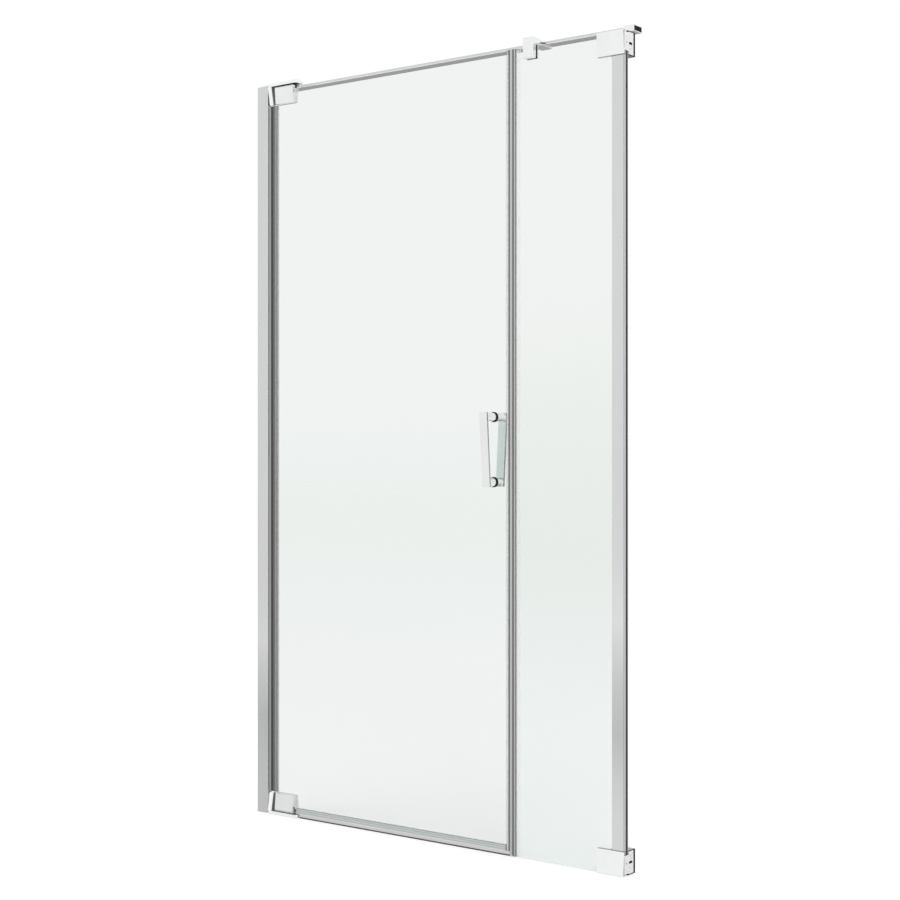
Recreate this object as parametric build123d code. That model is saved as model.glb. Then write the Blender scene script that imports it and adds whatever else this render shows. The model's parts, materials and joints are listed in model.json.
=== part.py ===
# Hinged shower door between two walls: a pivoting glass door beside a fixed glass panel.
# The fixed panel is tied to a flat bar that runs from wall to wall above and behind the glass.
# Frame: X from the hinge-side wall to the other wall, -Y towards the room, +Y into the shower,
# Z up. The origin is on the hinge-side wall, on the glass centre plane, at tray level.
# All sizes are in millimetres.
import os

from build123d import *

# Overall opening and glass
opening_width = 1150.0
frame_height = 1950.0
glass_thickness = 6.0
glass_drop = 20.0        # from the top of the frame down to the top of both panes
fixed_glass_bottom = 1.0
door_glass_bottom = 12.0
seat_gap = 0.2          # between pieces that are slid or dropped together
press_gap = 0.05        # between a pivot pin and its bush

# Aluminium profiles on the walls
profile_depth = 16.0
profile_wall = 1.5
channel_leg = 17.0
channel_wall = 1.6
channel_fit = 0.3
tape_half_width = 4.4
tape_depth = 0.6
hinge_profile_width = 38.3
hinge_profile_start = 0.3
hinge_profile_box = 17.6
profile_lip_groove = 3.0
glass_profile_width = 31.0
glass_profile_wall_gap = 3.5
glass_pocket = 15.0
wall_hole_radius = 2.6
wall_hole_count = 4
wall_hole_first = 150.0
tie_screw_radius = 2.0
tie_screw_head_radius = 3.5
tie_screw_head_height = 1.8
tie_screw_end = 260.0
tie_screw_inset = 9.5
small_hex = 2.5
large_hex = 4.0
socket_depth = 1.2
profile_edge_radius = 0.6
fixed_glass_edge_gap = 2.0
gasket_width = 11.0
gasket_chamfer = 0.8

# Door pane and its seals
door_left = 61.0
fixed_zone = 324.0       # from the closing edge of the door pane to the far wall
seal_skin = 1.2
seal_leg = 11.0
seal_web = 1.5
seal_tip = 0.35
nose_reach = 8.4
nose_width = 8.0
nose_tip_width = 3.0
nose_taper = 3.0
magnet_box_width = 9.5
magnet_box_depth = 10.0
magnet_wall = 1.2
fixed_magnet_box_width = 7.0
magnet_gap = 0.5
closing_seal_foot = 2.0   # the closing seals reach down to this height above the tray
drip_leg = 14.0
drip_body_height = 7.4
drip_lip_clearance = 0.4
drip_groove_depth = 0.4
drip_groove_heights = (7.0, 10.5)
drip_groove_half = 0.5
drip_lip_thickness = 1.8
drip_lip_taper = 0.4
drip_lip_rake = 1.0
drip_end_gap = 0.3
drip_start_gap = 2.0
drip_leg_start_gap = 3.0
drip_step = 0.6
drip_step_height = 3.7
drip_toe = 3.0
drip_slope = 2.6
drip_overhang = 2.5
drip_edge_height = 1.4
lip_reach = 12.0
lip_thickness = 5.0

# Pivot hinges, one above and one below the door pane
pivot_x = 100.5
hinge_plate_width = 64.0
hinge_plate_height = 44.0
hinge_plate_outer = 15.0
hinge_plate_inner = 11.0
hinge_arm_thickness = 8.5
hinge_arm_end = 147.0
hinge_arm_shoulder = 48.0
hinge_arm_edge_gap = 0.5
arm_corner_x = 4.0
arm_corner_y = 5.0
arm_edge_radius = 1.5
leg_edge_radius = 1.0
hinge_plate_gap = 5.0
hinge_leg_start = 42.0
hinge_leg_width = 13.0
hinge_leg_height = 56.0
hinge_leg_outer = 13.0
hinge_leg_inner = 4.5
hinge_foot_depth = 6.5
hinge_tongue_start = 15.0
hinge_tongue_thickness = 3.0
pad_thickness = 1.2
liner_thickness = 0.8
liner_margin = 0.5
cap_height = 3.6
cap_margin = 2.5
cap_hole_gap = 0.3
plate_edge_radius = 1.5
pivot_block_width = 27.0
pivot_block_depth = 18.0
pivot_block_height = 23.0
pivot_block_radius = 3.0
pivot_notch_width = 33.0
pivot_notch_depth = 20.0
pin_radius = 4.0
pin_head_radius = 7.0
pin_head_height = 3.0
pin_chamfer = 0.8
pin_depth_in_block = 19.0
bush_wall = 2.0
bush_flange_radius = 8.5
bush_flange_height = 1.5
clamp_screw_radius = 3.0
clamp_screw_head_radius = 5.5
clamp_screw_head_height = 3.0
clamp_screw_spread = 44.0
clamp_screw_drop = 32.0
clamp_screw_bite = 5.0
clamp_screw_proud = 0.5
glass_hole_radius = 4.5
leg_screw_radius = 2.5
leg_screw_head_radius = 4.5
leg_screw_head_height = 2.5
leg_screw_pitch = 30.0
leg_screw_first = 10.0   # lowest screw above the foot of the leg
leg_screw_tip = 3.0

# Wall brackets of the fixed pane
bracket_width = 72.0
bracket_rear_width = 42.0
bracket_height = 56.0
bracket_front_outer = 15.0
bracket_front_inner = 12.5
bracket_rear = 37.0
bracket_shell = 1.5
bracket_plate = 3.0
bracket_plate_rear = 30.0
bracket_jaw = 5.5
bracket_pad = 1.4
bracket_profile_notch = 9.0
bracket_slot_length = 14.6
bracket_slot_width = 5.5
bracket_slot_y = 17.6
bracket_pin_hole_radius = 1.6
bracket_screw_inset = 33.0
bracket_plate_gap = 0.8
bracket_top_notch = 2.0
bracket_screw_pitch = 26.0
bracket_notch_margin = 0.4
cover_edge_radius = 0.8
bracket_hole_margin = 0.5

# Bar above the glass, its sockets and the clamp that ties the fixed pane to it
bar_front = 35.0
bar_depth = 30.0
bar_drop = 12.0
bar_height = 8.5
bar_edge_radius = 0.8
socket_length = 28.0
socket_wall_y = 2.6
socket_wall_z = 3.2
plug_length = 11.0
plug_hole_radius = 2.6
plug_sink_radius = 5.0
plug_sink_depth = 2.6
plug_margin = 1.5
socket_edge_radius = 0.8
socket_screw_inset = 7.0
socket_screw_bite = 2.0
socket_screw_radius = 2.5
tie_clamp_inset = 27.0   # from the edge of the fixed pane
tie_clamp_width = 30.0
tie_clamp_front = 16.4
tie_clamp_reach = 29.5
tie_clamp_top_gap = 0.5
tie_clamp_pad = 1.6
tie_clamp_plate = 3.2
tie_clamp_rear_jaw = 5.0
tie_clamp_web = 4.0
tie_clamp_lip = 3.2
tie_clamp_lip_height = 6.0
tie_clamp_edge_radius = 1.5
tie_clamp_bar_gap = 0.3
tie_clamp_rest_gap = 0.1
tie_gasket_inset = 0.8
tie_screw_pitch = 16.0
tie_grub_radius = 2.5
tie_lip_grub_radius = 2.0

# Handle: a pair of flat bars that lean out towards the top
handle_inset = 49.0      # from the closing edge of the door pane
handle_width = 23.0
handle_bar = 5.5
handle_bottom = 883.0
handle_length = 180.0
handle_lean_top = 45.0
handle_lean_bottom = 32.0
standoff_radius = 11.0
standoff_inset = 11.5
washer_radius = 12.5
washer_thickness = 1.5
handle_bolt_radius = 4.0
handle_bolt_bite = 10.0
handle_hole_radius = 6.0
handle_grub_radius = 2.0
handle_grub_offset = 6.0
handle_edge_radius = 0.8

# Values worked out from the sizes above
half_glass = glass_thickness / 2
glass_top = frame_height - glass_drop
door_right = opening_width - fixed_zone
handle_x = door_right - handle_inset
wall_hole_pitch = (frame_height - 2 * wall_hole_first) / (wall_hole_count - 1)
tie_screw_heights = (tie_screw_end, frame_height / 2, frame_height - tie_screw_end)
half_profile = profile_depth / 2
half_pocket = half_profile - profile_wall
half_channel = half_pocket - channel_fit
hinge_profile_end = hinge_profile_start + hinge_profile_width
hinge_profile_top = frame_height - hinge_tongue_thickness
glass_profile_right = opening_width - glass_profile_wall_gap
glass_profile_left = glass_profile_right - glass_profile_width
glass_profile_web = glass_profile_left + glass_pocket
fixed_right = glass_profile_web - fixed_glass_edge_gap
mate_x = door_right + seal_web + magnet_box_width
fixed_left = mate_x + magnet_gap + fixed_magnet_box_width + seal_web
hinge_mirror = (frame_height + hinge_arm_edge_gap) / 2
bracket_mirror = (glass_top + fixed_glass_bottom) / 2
arm_bottom = frame_height - hinge_arm_thickness
plate_top = arm_bottom - hinge_plate_gap
plate_bottom = plate_top - hinge_plate_height
plate_left = pivot_x - hinge_plate_width / 2
plate_right = pivot_x + hinge_plate_width / 2
drip_left = hinge_arm_end + drip_start_gap
drip_right = door_right + seal_web - drip_end_gap
drip_leg_left = plate_right + drip_leg_start_gap
drip_leg_right = door_right - seal_leg - drip_end_gap
half_pad = half_glass + pad_thickness
corner_notch_end = plate_left + seat_gap
bracket_left = opening_width - bracket_width
bracket_rear_left = opening_width - bracket_rear_width
bracket_screw_x = opening_width - bracket_screw_inset
bracket_top = glass_top
bracket_bottom = bracket_top - bracket_height
bracket_low_top = 2 * bracket_mirror - bracket_bottom
half_bracket_pad = half_glass + bracket_pad
profile_top_right = bracket_bottom + bracket_profile_notch - 1.0
profile_bottom_right = 2 * bracket_mirror - profile_top_right
bar_bottom = frame_height - bar_drop
bar_rear = bar_front + bar_depth
bar_top = bar_bottom + bar_height
bar_mid_y = bar_front + bar_depth / 2
bar_mid_z = bar_bottom + bar_height / 2
bar_left = plug_length + 1.0
socket_screw_x = opening_width - socket_length + socket_screw_inset
tie_clamp_left = fixed_left + tie_clamp_inset
tie_clamp_bottom = glass_top - tie_clamp_reach
tie_clamp_top = frame_height - tie_clamp_top_gap
standoff_heights = (
    handle_bottom + standoff_inset,
    handle_bottom + handle_length - standoff_inset,
)
seal_bottom = 2 * hinge_mirror - plate_bottom + 1.0
seal_top = plate_bottom - 1.0


def prism_x(outline, x0, x1):
    """Solid whose (y, z) outline runs from x0 to x1."""
    return extrude(Plane.YZ.offset(x0) * make_face(Polyline(*outline, close=True)), x1 - x0)


def prism_z(outline, z0, z1):
    """Solid whose (x, y) outline runs from z0 to z1."""
    return extrude(Plane.XY.offset(z0) * make_face(Polyline(*outline, close=True)), z1 - z0)


def block(x0, x1, y0, y1, z0, z1):
    """Plain block between two corners."""
    return prism_z([(x0, y0), (x1, y0), (x1, y1), (x0, y1)], z0, z1)


def rod(start, direction, radius, length):
    """Round bar from a start point along a direction."""
    plane = Plane(origin=start, z_dir=direction)
    return extrude(plane * Circle(radius), length)


def stepped_rod(start, direction, steps):
    """Round bar made of (radius, length) steps, one after another."""
    axis = Vector(*direction)
    bar = None
    at = Vector(*start)
    for radius, length in steps:
        piece = rod(at, axis, radius, length)
        bar = piece if bar is None else bar + piece
        at = at + axis * length
    return bar


def mirrored_z(shape, height):
    """Copy of a shape mirrored about a level plane at the given height."""
    return mirror(shape, Plane.XY.offset(height))


def mirrored_x(shape):
    """Copy of a shape mirrored about the middle of the opening."""
    return mirror(shape, Plane.YZ.offset(opening_width / 2))


def clear_of(body, tools):
    """Body with each tool cut away."""
    for tool in tools:
        body = body - tool
    return body


def hex_socket(face, direction, across):
    """Tool for the hexagon socket in a screw's head, sunk from its face."""
    plane = Plane(origin=face, z_dir=direction)
    return extrude(plane * RegularPolygon(across / 2, 6, major_radius=False), socket_depth)


def wall_channel(height0, height1):
    """U channel screwed to the hinge-side wall, with its row of fixing holes left empty."""
    inner = half_channel - channel_wall
    outline = [
        (0, -half_channel), (channel_leg, -half_channel), (channel_leg, -inner), (channel_wall, -inner),
        (channel_wall, inner), (channel_leg, inner), (channel_leg, half_channel), (0, half_channel),
    ]
    channel = prism_z(outline, height0, height1)
    channel -= block(0, tape_depth, -tape_half_width, tape_half_width, height0, height1)
    return clear_of(channel, wall_holes())


def wall_holes():
    """Tools for the row of fixing holes in the channel on the hinge-side wall."""
    return [rod((-1.0, 0, wall_hole_first + index * wall_hole_pitch), (1, 0, 0), wall_hole_radius,
                channel_wall + 2) for index in range(wall_hole_count)]


def wall_tape(height0, height1):
    """Black sealing tape let into the wall side of a channel."""
    tape = block(0, tape_depth, -tape_half_width, tape_half_width, height0, height1)
    return clear_of(tape, wall_holes())


def tie_screw(x, height):
    """Pan-head screw that ties a profile to its wall channel from the shower side."""
    shank = half_profile - half_channel + channel_wall
    screw = stepped_rod(
        (x, half_profile - shank, height), (0, 1, 0),
        [(tie_screw_radius, shank), (tie_screw_head_radius, tie_screw_head_height)],
    )
    return screw - hex_socket((x, half_profile + tie_screw_head_height, height), (0, -1, 0), small_hex)


def tie_holes(x):
    """Holes for the tie screws of one profile, and of the channel behind it."""
    depth = half_profile - half_channel + channel_wall + 1
    return [rod((x, half_profile - depth, z), (0, 1, 0), tie_screw_radius, depth + 1)
            for z in tie_screw_heights]


def hinge_profile():
    """Adjusting profile on the hinge side: two flanges over the channel and a closed box section."""
    start, end = hinge_profile_start, hinge_profile_end
    box_start = end - hinge_profile_box
    profile = block(start, end, -half_profile, half_profile, 0, hinge_profile_top)
    profile -= block(start, box_start - profile_wall, -half_pocket, half_pocket, 0, hinge_profile_top)
    profile -= block(box_start, end - profile_lip_groove - profile_wall,
                     -half_pocket, half_pocket, 0, hinge_profile_top)
    groove = lip_thickness / 2
    profile -= block(end - profile_lip_groove, end, -groove, groove, 0, hinge_profile_top)
    return fillet(profile.edges().filter_by(Axis.Z).filter_by(
        lambda edge: abs(abs(edge.center().Y) - half_profile) < 0.01), profile_edge_radius)


def hinge_side_lip():
    """Soft lip that closes the gap between the hinge profile and the door pane."""
    start = hinge_profile_end - profile_lip_groove + seat_gap
    end = hinge_profile_end + lip_reach
    half = lip_thickness / 2 - seat_gap
    outline = [(start, -half), (hinge_profile_end + 2, -half), (end, -half / 2), (end, half / 2),
               (hinge_profile_end + 2, half), (start, half)]
    return prism_z(outline, seal_bottom, seal_top)


def glass_profile():
    """Adjusting profile of the fixed pane: one pocket for the glass and one over the wall channel."""
    profile = block(glass_profile_left, glass_profile_right, -half_profile, half_profile,
                    profile_bottom_right, profile_top_right)
    for x0, x1 in ((glass_profile_left, glass_profile_web),
                   (glass_profile_web + profile_wall, glass_profile_right)):
        profile -= block(x0, x1, -half_pocket, half_pocket, profile_bottom_right, profile_top_right)
    return fillet(profile.edges().filter_by(Axis.Z).filter_by(
        lambda edge: abs(abs(edge.center().Y) - half_profile) < 0.01), profile_edge_radius)


def glazing_gaskets():
    """Front and rear wedge strips that hold the fixed pane in its profile."""
    start = glass_profile_left + 1.0
    end = start + gasket_width
    strips = []
    for side in (-1, 1):
        outline = [(start, side * half_glass), (end, side * half_glass),
                   (end, side * (half_pocket - seat_gap)), (start + 2, side * half_pocket),
                   (start, side * (half_pocket - gasket_chamfer))]
        strips.append(prism_z(outline, bracket_low_top, bracket_bottom))
    return strips


def fixed_glass():
    """Fixed pane with the through holes of the bracket screws."""
    pane = block(fixed_left, fixed_right, -half_glass, half_glass, fixed_glass_bottom, glass_top)
    for high in bracket_screw_heights():
        for z in (high, 2 * bracket_mirror - high):
            pane -= glass_hole(bracket_screw_x, z, glass_hole_radius)
    return pane


def glass_hole(x, z, radius):
    """Tool for a round hole through a pane."""
    return rod((x, -half_glass - 1, z), (0, 1, 0), radius, glass_thickness + 2)


def bracket_screw_heights():
    """Heights of the two clamp screws of the upper wall bracket."""
    middle = (bracket_top + bracket_bottom) / 2
    return (middle - bracket_screw_pitch / 2, middle + bracket_screw_pitch / 2)


def hinge_screw_places():
    """(x, z) of the two clamp screws of the upper hinge."""
    z = plate_top - clamp_screw_drop
    return [(pivot_x + side * clamp_screw_spread / 2, z) for side in (-1, 1)]


def door_glass():
    """Door pane with its hinge cut-outs, corner notches and holes."""
    pane = block(door_left, door_right, -half_glass, half_glass, door_glass_bottom, glass_top)
    top_cut = [
        block(pivot_x - pivot_notch_width / 2, pivot_x + pivot_notch_width / 2, -half_glass - 1,
              half_glass + 1, glass_top - pivot_notch_depth, frame_height),
        block(door_left - 1, corner_notch_end, -half_glass - 1, half_glass + 1,
              plate_bottom - 1, frame_height),
    ]
    for x, z in hinge_screw_places():
        top_cut.append(glass_hole(x, z, glass_hole_radius))
    for cut in top_cut:
        pane = pane - cut - mirrored_z(cut, hinge_mirror)
    for z in standoff_heights:
        pane -= glass_hole(handle_x, z, handle_hole_radius)
    return pane


def hinge_bracket(with_tongue):
    """Fixed hinge casting: foot on the profile, wedge-shaped leg and the arm above the door."""
    leg_bottom = frame_height - hinge_leg_height
    leg_outline = [(-hinge_leg_inner, leg_bottom), (-hinge_leg_outer, arm_bottom),
                   (hinge_leg_outer, arm_bottom), (hinge_leg_inner, leg_bottom)]
    leg = prism_x(leg_outline, hinge_leg_start, hinge_leg_start + hinge_leg_width)
    leg = fillet(leg.edges().filter_by(lambda edge: abs(edge.center().Y) > hinge_leg_inner + 1
                                       and abs(edge.center().Z - arm_bottom) > 5), leg_edge_radius)
    foot = block(hinge_profile_end, hinge_leg_start, -hinge_foot_depth, hinge_foot_depth,
                 leg_bottom + 2, arm_bottom)
    foot = foot & prism_x(leg_outline, hinge_profile_end, hinge_leg_start)
    arm_outline = [
        (hinge_profile_end, -half_profile), (hinge_leg_start, -half_profile - 3),
        (hinge_arm_shoulder, -hinge_plate_outer), (hinge_arm_end - arm_corner_x, -hinge_plate_outer),
        (hinge_arm_end, arm_corner_y - hinge_plate_outer),
        (hinge_arm_end, hinge_plate_outer - arm_corner_y),
        (hinge_arm_end - arm_corner_x, hinge_plate_outer), (hinge_arm_shoulder, hinge_plate_outer),
        (hinge_leg_start, half_profile + 3), (hinge_profile_end, half_profile),
    ]
    arm = prism_z(arm_outline, arm_bottom, frame_height)
    arm = fillet(arm.edges().filter_by(Axis.Z).filter_by(
        lambda edge: edge.center().X > hinge_arm_shoulder - 1), arm_edge_radius)
    casting = leg + foot + arm
    if with_tongue:
        casting += block(hinge_tongue_start, hinge_profile_end, -half_profile, half_profile,
                         hinge_profile_top, frame_height)
    casting -= stepped_rod((pivot_x, 0, frame_height), (0, 0, -1),
                           [(pin_head_radius, pin_head_height), (pin_radius, hinge_arm_thickness)])
    for z in leg_screw_heights():
        casting -= leg_screw(z)
    return casting


def leg_screw_heights():
    """Heights of the screws that hold the upper hinge casting on its profile."""
    low = frame_height - hinge_leg_height + leg_screw_first
    return (low, low + leg_screw_pitch)


def leg_screw(z):
    """Screw through the leg into the wall of the hinge profile."""
    face = hinge_leg_start + hinge_leg_width
    return stepped_rod((face, 0, z), (-1, 0, 0),
                       [(leg_screw_head_radius, leg_screw_head_height),
                        (leg_screw_radius, face - hinge_profile_end - leg_screw_head_height)])


def pivot_pin():
    """Headed pin pressed into the hinge arm, hanging into the door's bush."""
    reach = hinge_arm_thickness + hinge_plate_gap + pin_depth_in_block - pin_head_height
    pin = stepped_rod((pivot_x, 0, frame_height), (0, 0, -1),
                      [(pin_head_radius, pin_head_height), (pin_radius, reach)])
    low = frame_height - pin_head_height - reach
    return chamfer(pin.edges().filter_by(lambda edge: abs(edge.center().Z - low) < 0.01), pin_chamfer)


def pivot_bush():
    """Flanged plastic bush in the pivot block."""
    bore = pin_radius + press_gap
    bush = stepped_rod((pivot_x, 0, plate_top + bush_flange_height), (0, 0, -1),
                       [(bush_flange_radius, bush_flange_height),
                        (pin_radius + bush_wall, pin_depth_in_block + 1)])
    return bush - rod((pivot_x, 0, plate_top + bush_flange_height + 1), (0, 0, -1), bore,
                      pin_depth_in_block + bush_flange_height + 4)


def pivot_block_solid(gap):
    """Outer form of the pivot block, enlarged by a gap for the pockets that hold it."""
    half_width = pivot_block_width / 2 + gap
    half_depth = pivot_block_depth / 2 + gap
    solid = block(pivot_x - half_width, pivot_x + half_width, -half_depth, half_depth,
                  plate_top - pivot_block_height - gap, plate_top)
    return fillet(solid.edges().filter_by(Axis.Z), pivot_block_radius)


def pivot_block():
    """Metal block between the clamp plates that carries the bush."""
    solid = pivot_block_solid(0)
    return solid - rod((pivot_x, 0, plate_top + 1), (0, 0, -1), pin_radius + bush_wall,
                       pin_depth_in_block + 2)


def hinge_plate(side):
    """Wedge-shaped clamp plate, -1 for the room side and 1 for the shower side."""
    outline = [(side * half_pad, plate_bottom), (side * hinge_plate_inner, plate_bottom),
               (side * hinge_plate_outer, plate_top), (side * half_pad, plate_top)]
    plate = prism_x(outline, plate_left, plate_right)
    outer_edges = plate.edges().filter_by(lambda edge: abs(edge.center().Y) > hinge_plate_inner - 0.5)
    plate = fillet(outer_edges, plate_edge_radius)
    plate -= pivot_block_solid(press_gap)
    for x, z in hinge_screw_places():
        plate -= clamp_screw(x, z, half_pad, hinge_screw_head_y(z))
    return plate


def hinge_screw_head_y(z):
    """Distance from the glass centre plane to a countersunk face on the sloped plate."""
    slope = (hinge_plate_outer - hinge_plate_inner) / hinge_plate_height
    return hinge_plate_inner + slope * (z - plate_bottom) - clamp_screw_head_height + clamp_screw_proud


def clamp_screw(x, z, inner, head_y):
    """Screw from the shower side through the glass into the front plate."""
    shank = head_y + inner + clamp_screw_bite
    return stepped_rod((x, head_y - shank, z), (0, 1, 0),
                       [(clamp_screw_radius, shank), (clamp_screw_head_radius, clamp_screw_head_height)])


def hinge_pads():
    """Thin gaskets between the clamp plates and the glass."""
    top = glass_top
    pads = []
    for side in (-1, 1):
        y0, y1 = sorted((side * half_glass, side * half_pad))
        pad = block(plate_left + 1, plate_right - 1, y0, y1, plate_bottom + 1, top)
        pad -= pivot_block_solid(seat_gap)
        for x, z in hinge_screw_places():
            pad -= rod((x, -20, z), (0, 1, 0), glass_hole_radius, 40)
        pads.append(pad)
    return pads


def hinge_leg_liner():
    """Thin black liner on the side of the hinge leg that faces the door."""
    low = frame_height - hinge_leg_height + liner_margin
    high = arm_bottom - liner_margin
    start = hinge_leg_start + hinge_leg_width
    inner, outer = hinge_leg_inner - liner_margin, hinge_leg_outer - 2 * liner_margin
    return prism_x([(-inner, low), (-outer, high), (outer, high), (inner, low)],
                   start, start + liner_thickness)


def hinge_cap():
    """Black cap over both clamp plates that closes the gap below the hinge arm."""
    half = hinge_plate_outer - cap_margin
    cap = block(plate_left + 1, plate_right - 1, -half, half, plate_top, plate_top + cap_height)
    groove = half_glass + seat_gap
    cap -= block(plate_left, plate_right, -groove, groove, plate_top,
                 2 * hinge_mirror - door_glass_bottom + seat_gap)
    return cap - rod((pivot_x, 0, plate_top), (0, 0, 1), bush_flange_radius + cap_hole_gap, cap_height)


def thrust_washer():
    """Plastic washer that carries the door on the lower hinge arm."""
    face = 2 * hinge_mirror - plate_top
    arm_face = 2 * hinge_mirror - arm_bottom
    height = face - bush_flange_height - arm_face - seat_gap
    washer = rod((pivot_x, 0, arm_face + seat_gap), (0, 0, 1), bush_flange_radius, height)
    return washer - rod((pivot_x, 0, 0), (0, 0, 1), pin_radius + press_gap, face + 5)


def edge_seal(x_edge, direction, z0, z1):
    """U-shaped seal clipped on an upright glass edge: legs, web, open towards the pane."""
    inner, outer = half_glass, half_glass + seal_skin
    web = x_edge + direction * seal_web
    tip = x_edge - direction * seal_leg
    thin = half_glass + seal_tip
    outline = [(tip, -thin), (x_edge, -outer), (web, -outer), (web, outer), (x_edge, outer),
               (tip, thin), (tip, inner), (x_edge, inner), (x_edge, -inner), (tip, -inner)]
    return prism_z(outline, z0, z1)


def hinge_side_seal():
    """Seal on the hinge edge of the door pane, with a soft rounded nose."""
    seal = edge_seal(door_left, -1, seal_bottom, seal_top)
    half = nose_width / 2
    base = door_left - seal_web
    tip = base - nose_reach
    half_tip = nose_tip_width / 2
    outline = [(base, -half), (tip + nose_taper, -half), (tip, -half_tip),
               (tip, half_tip), (tip + nose_taper, half), (base, half)]
    return seal + prism_z(outline, seal_bottom, seal_top)


def magnet_box(x0, x1, z0, z1):
    """Hollow box section that holds a magnet strip."""
    half = magnet_box_depth / 2
    inner = half - magnet_wall
    outer = block(x0, x1, -half, half, z0, z1)
    return outer - block(x0 + magnet_wall, x1 - magnet_wall, -inner, inner, z0, z1)


def magnet_strip(x0, x1, z0, z1):
    """Magnet strip inside its box section."""
    half = magnet_box_depth / 2 - magnet_wall - 0.1
    return block(x0 + magnet_wall + 0.1, x1 - magnet_wall - 0.1, -half, half, z0, z1)


def door_magnetic_seal():
    """Seal on the closing edge of the door pane."""
    seal = edge_seal(door_right, 1, door_glass_bottom, glass_top)
    return seal + magnet_box(door_right + seal_web, mate_x, closing_seal_foot, glass_top)


def fixed_magnetic_seal():
    """Seal on the facing edge of the fixed pane."""
    seal = edge_seal(fixed_left, -1, fixed_glass_bottom, glass_top)
    return seal + magnet_box(mate_x + magnet_gap, fixed_left - seal_web, fixed_glass_bottom, glass_top)


def drip_seal():
    """Stiff part of the drip seal: grooved legs on the glass over a sloped body."""
    outer = half_glass + seal_skin
    front = -outer - drip_step
    web = door_glass_bottom - seal_web
    low = web - drip_body_height
    ledge = door_glass_bottom + drip_step_height
    high = door_glass_bottom + drip_leg
    legs = prism_x([
        (-half_glass, high), (-outer, high), (-outer, ledge + drip_step), (front, ledge), (front, web),
        (outer, web), (outer, high), (half_glass, high), (half_glass, door_glass_bottom),
        (-half_glass, door_glass_bottom),
    ], drip_leg_left, drip_leg_right)
    for height in drip_groove_heights:
        z = door_glass_bottom + height
        legs -= prism_x([(-outer, z - drip_groove_half), (drip_groove_depth - outer, z),
                         (-outer, z + drip_groove_half)], drip_leg_left, drip_leg_right)
    rear = outer + drip_overhang
    body = prism_x([
        (front, low), (front + drip_toe, low), (rear, low + drip_slope),
        (rear, low + drip_slope + drip_edge_height), (outer, web), (front, web),
    ], drip_left, drip_right)
    return legs + body


def drip_lip():
    """Soft lip below the drip seal that brushes the tray."""
    front = -half_glass - seal_skin
    top = door_glass_bottom - seal_web - drip_body_height
    rear = front + drip_lip_thickness
    outline = [(front, top), (rear, top), (rear - drip_lip_taper, drip_lip_clearance),
               (front - drip_lip_rake, drip_lip_clearance)]
    return prism_x(outline, drip_left, drip_right)


def bracket_body():
    """Casting of the upper wall bracket: slotted wall plate and two jaws around the glass."""
    z0 = bracket_bottom + bracket_shell + bracket_plate_gap
    z1 = bracket_top - bracket_shell - bracket_plate_gap
    wall = opening_width
    jaw = half_bracket_pad + bracket_jaw
    left = bracket_left + bracket_shell + seat_gap
    rear_left = bracket_rear_left + bracket_shell + seat_gap
    front = -bracket_front_inner + bracket_shell + seat_gap
    inside = wall - bracket_plate
    outline = [
        (wall, front), (wall, bracket_plate_rear), (inside, bracket_plate_rear), (inside, jaw),
        (rear_left, jaw), (rear_left, half_bracket_pad), (inside, half_bracket_pad),
        (inside, -half_bracket_pad),
        (left, -half_bracket_pad), (left, -jaw), (inside, -jaw), (inside, front),
    ]
    body = prism_z(outline, z0, z1)
    notch = half_profile + bracket_notch_margin
    body -= block(glass_profile_left - 1, wall + 1, -notch, notch, z0 - 1,
                  bracket_bottom + bracket_profile_notch)
    body -= block(inside - 1, wall + 1, -notch, notch, z1 - bracket_top_notch, z1 + 1)
    middle = (bracket_top + bracket_bottom) / 2
    slot = Plane.YZ.offset(inside - 1) * Pos(bracket_slot_y, middle) * SlotOverall(
        bracket_slot_length, bracket_slot_width)
    body -= extrude(slot, bracket_plate + 2)
    body -= rod((inside - 1, 0, middle), (1, 0, 0), bracket_pin_hole_radius, bracket_plate + 2)
    for z in bracket_screw_heights():
        body -= bracket_screw(z)
    return body


def bracket_screw(z):
    """Clamp screw of a wall bracket, from the shower side through the glass."""
    jaw = half_bracket_pad + bracket_jaw
    shank = 2 * jaw - 1.0
    return stepped_rod((bracket_screw_x, jaw - shank, z), (0, 1, 0),
                       [(clamp_screw_radius, shank), (clamp_screw_head_radius, clamp_screw_head_height)])


def bracket_cover(front):
    """Thin cover of the upper wall bracket, open towards the glass and the wall."""
    near = half_glass + seat_gap
    skin = bracket_shell
    if front:
        outline = [(-near, bracket_bottom), (-bracket_front_inner, bracket_bottom),
                   (-bracket_front_outer, bracket_top), (-near, bracket_top)]
        hollow = [(-near, bracket_bottom + skin), (-bracket_front_inner + skin, bracket_bottom + skin),
                  (-bracket_front_outer + skin, bracket_top - skin), (-near, bracket_top - skin)]
    else:
        outline = [(near, bracket_bottom), (bracket_rear, bracket_bottom),
                   (bracket_rear, bracket_top), (near, bracket_top)]
        hollow = [(near, bracket_bottom + skin), (bracket_rear - skin, bracket_bottom + skin),
                  (bracket_rear - skin, bracket_top - skin), (near, bracket_top - skin)]
    start = bracket_left if front else bracket_rear_left
    shell = prism_x(outline, start, opening_width)
    shell = fillet(shell.edges().filter_by(
        lambda edge: abs(edge.center().Y) > half_profile + 2 and edge.center().X < opening_width - 1),
        cover_edge_radius)
    shell -= prism_x(hollow, start + skin, opening_width)
    notch = half_profile + bracket_notch_margin
    shell -= block(glass_profile_left - 1, opening_width + 1, -notch, notch,
                   bracket_bottom - 1, bracket_bottom + skin + 0.1)
    return shell


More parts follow.
